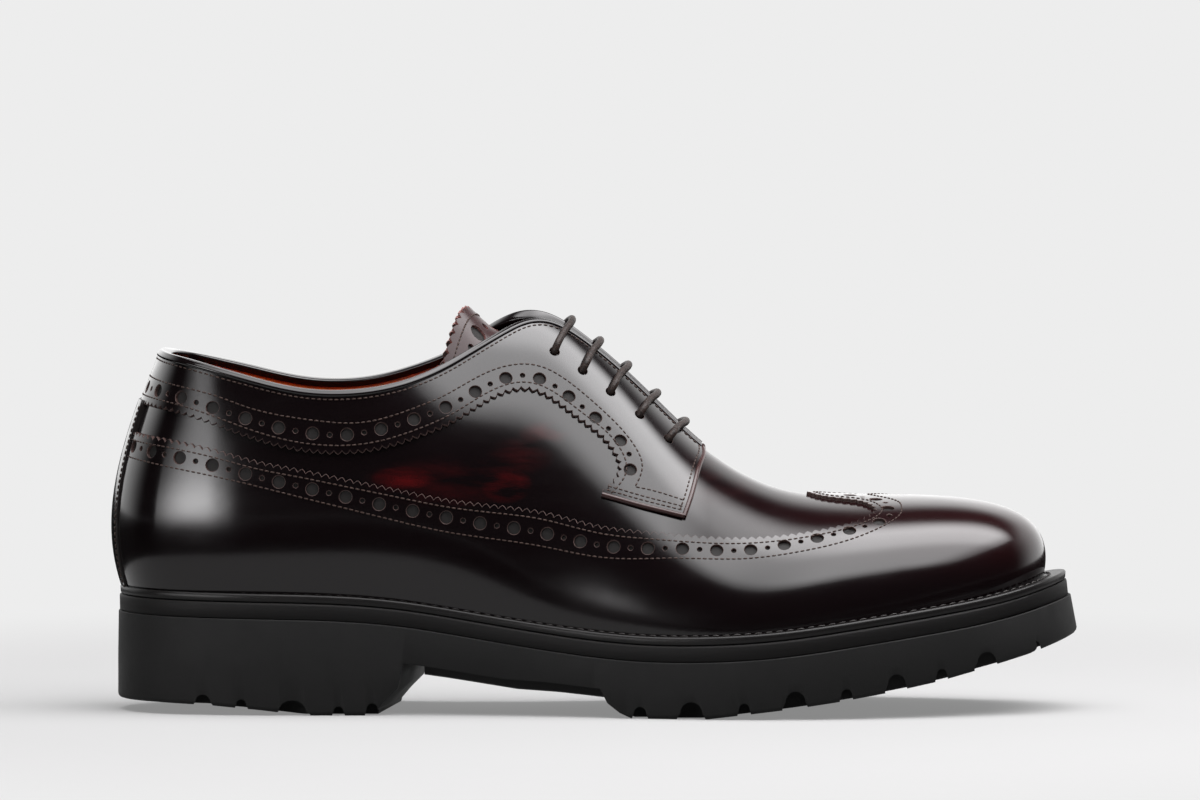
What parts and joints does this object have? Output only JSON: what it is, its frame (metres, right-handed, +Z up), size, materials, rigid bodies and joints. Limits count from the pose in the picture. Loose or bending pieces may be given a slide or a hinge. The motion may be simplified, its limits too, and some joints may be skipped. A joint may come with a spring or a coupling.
{
  "type": "derby shoe",
  "caption": "Full brogue derby shoe with long wing overlay, punched and gimped leather edges, straight-laced facings and a lugged rubber sole and heel",
  "frame": {"origin": "middle of the shoe's plan box, on the floor under the sole", "axes": "+X runs from the heel to the toe, +Y to the inner side of the foot, +Z up"},
  "size_m": [0.3094, 0.1072, 0.1283],
  "materials": {
    "rubber": "matt moulded",
    "edge": "inked and waxed edge",
    "lining": "natural lining leather",
    "upper": "polished brush-off leather",
    "overlay": "polished brush-off leather",
    "tongue": "polished brush-off leather",
    "lace": "round waxed cotton"
  },
  "bodies": {
    "root": {"outsole": "rubber", "midsole": "edge", "welt": "edge", "insole": "lining", "upper": "upper", "wing_cap": "overlay", "facing_band": "overlay", "backstay": "overlay", "tongue": "tongue", "lace_bar_1": "lace", "lace_bar_2": "lace", "lace_bar_3": "lace", "lace_bar_4": "lace", "lace_bar_5": "lace"}
  },
  "joints": []
}
